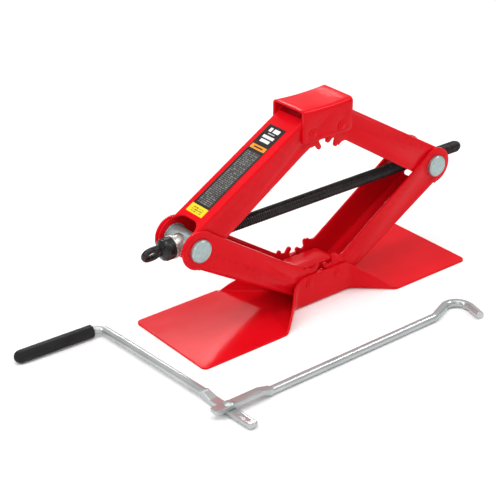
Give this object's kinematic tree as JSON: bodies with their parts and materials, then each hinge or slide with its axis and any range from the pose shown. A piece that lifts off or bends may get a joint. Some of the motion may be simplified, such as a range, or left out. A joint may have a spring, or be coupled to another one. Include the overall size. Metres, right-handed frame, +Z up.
{
  "type": "scissor stabilizer jack",
  "caption": "Scissor jack with geared channel arms, screw drive, pressed base and saddle, and a folding hook-and-crank handle.",
  "frame": {"origin": "centre of the underside of the base", "axes": "+X along the screw with the drive eye at the -X end, +Z up, -Y towards the handle"},
  "size_m": [0.576, 0.253, 0.2358],
  "materials": {
    "red_paint": "glossy red enamel",
    "zinc": "bright zinc plate",
    "black_steel": "satin black oxide",
    "chrome": "bright plated rod",
    "steel": "ground steel",
    "grip_plastic": "satin dark grey",
    "label": "dark sticker with a yellow band"
  },
  "bodies": {
    "base": {"base_plate": "red_paint", "base_rivets": "red_paint", "base_spacer": "red_paint"},
    "lower_left": {"lower_arm_left": "red_paint"},
    "lower_right": {"lower_arm_right": "red_paint"},
    "upper_left": {"upper_arm_left": "red_paint", "rating_label": "label"},
    "upper_right": {"upper_arm_right": "red_paint"},
    "saddle_body": {"saddle": "red_paint", "saddle_rivets": "red_paint", "saddle_tubes": "zinc"},
    "drive_knuckle": {"drive_trunnion": "zinc", "drive_rings": "zinc", "bearing_cup": "zinc", "bearing_balls": "steel"},
    "nut_knuckle": {"nut_trunnion": "zinc", "nut_rings": "zinc"},
    "screw": {"lead_screw": "black_steel", "drive_eye": "black_steel", "drive_pin": "steel", "thrust_washer": "black_steel", "bearing_race": "steel"},
    "handle_hook": {"hook_rod": "chrome", "hinge_rivet": "chrome", "hinge_washer": "chrome"},
    "handle_crank": {"crank_rod": "chrome"},
    "handle_grip": {"grip": "grip_plastic"}
  },
  "joints": [
    {"name": "fold", "type": "hinge", "parent": "base", "child": "lower_left", "pos_m": [-0.0207, 0, 0.0284], "axis": [0, 1, 0], "range_deg": [-22.6, 41.4]},
    {"name": "lower_right_pivot", "type": "hinge", "parent": "base", "child": "lower_right", "pos_m": [0.0207, 0, 0.0284], "axis": [0, 1, 0], "range_deg": [-42.4, 23.6]},
    {"name": "upper_left_pivot", "type": "hinge", "parent": "lower_left", "child": "upper_left", "pos_m": [-0.17133, 0, 0.11748], "axis": [0, 1, 0], "range_deg": [-83.8, 46.2]},
    {"name": "upper_right_pivot", "type": "hinge", "parent": "lower_right", "child": "upper_right", "pos_m": [0.17133, 0, 0.11748], "axis": [0, 1, 0], "range_deg": [-46.2, 83.8]},
    {"name": "saddle_pivot", "type": "hinge", "parent": "upper_left", "child": "saddle_body", "pos_m": [-0.0207, 0, 0.20656], "axis": [0, 1, 0], "range_deg": [-23.6, 42.4]},
    {"name": "drive_knuckle_pivot", "type": "hinge", "parent": "lower_left", "child": "drive_knuckle", "pos_m": [-0.17133, 0, 0.11748], "axis": [0, 1, 0], "range_deg": [-42.4, 23.6]},
    {"name": "nut_knuckle_pivot", "type": "hinge", "parent": "lower_right", "child": "nut_knuckle", "pos_m": [0.17133, 0, 0.11748], "axis": [0, 1, 0], "range_deg": [-23.6, 42.4]},
    {"name": "screw_turn", "type": "hinge", "parent": "drive_knuckle", "child": "screw", "pos_m": [-0.17133, 0, 0.11748], "axis": [1, 0, 0], "range_deg": [-10304, 18710]},
    {"name": "handle_lift", "type": "slide", "parent": "base", "child": "handle_hook", "axis": [0, 0, 1], "range_m": [-0.0005, 0.02]},
    {"name": "handle_hinge", "type": "hinge", "parent": "handle_hook", "child": "handle_crank", "pos_m": [-0.2235, -0.1375, 0.007], "axis": [0, 0, 1], "range_deg": [-3, 87]},
    {"name": "grip_spin", "type": "hinge", "parent": "handle_crank", "child": "handle_grip", "pos_m": [-0.2477, 0.06797, 0.0069], "axis": [-0.9995, 0.0332, 0], "continuous": true}
  ],
  "couplings": [
    {"joint": "lower_right_pivot", "follows": "fold", "ratio": -1},
    {"joint": "upper_left_pivot", "follows": "fold", "ratio": -2},
    {"joint": "upper_right_pivot", "follows": "fold", "ratio": 2},
    {"joint": "saddle_pivot", "follows": "fold", "ratio": 1},
    {"joint": "drive_knuckle_pivot", "follows": "fold", "ratio": -1},
    {"joint": "nut_knuckle_pivot", "follows": "fold", "ratio": 1},
    {"joint": "screw_turn", "follows": "fold", "ratio": 447.1}
  ]
}
